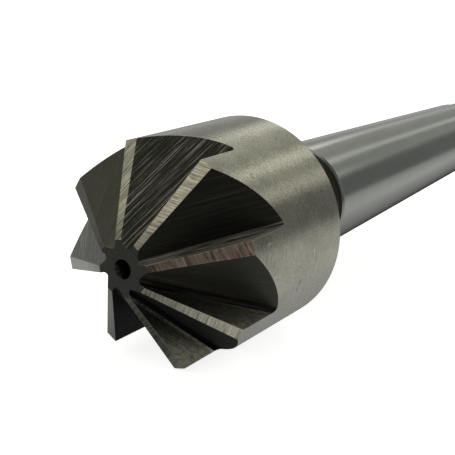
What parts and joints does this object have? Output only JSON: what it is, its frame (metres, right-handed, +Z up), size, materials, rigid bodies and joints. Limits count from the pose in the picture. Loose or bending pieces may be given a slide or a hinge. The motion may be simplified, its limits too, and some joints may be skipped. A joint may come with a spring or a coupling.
{
  "type": "countersink",
  "caption": "Solid taper-shank countersink: straight V flutes milled into an obtuse cone, ground cylindrical head, recessed neck, self-holding taper shank and drive tang.",
  "frame": {"origin": "centre of the gauge plane of the taper shank, on the tool's axis", "axes": "+Y along the axis from the teeth to the tang, +Z up, +X to the right seen from in front of the teeth looking along +Y and square to the flats of the tang"},
  "size_m": [0.0315, 0.124, 0.0314],
  "materials": {
    "tool_steel": "bare hardened tool steel: satin-ground head and lands, milled flutes, finely ground shank"
  },
  "bodies": {
    "root": {"countersink": "tool_steel"}
  },
  "joints": []
}
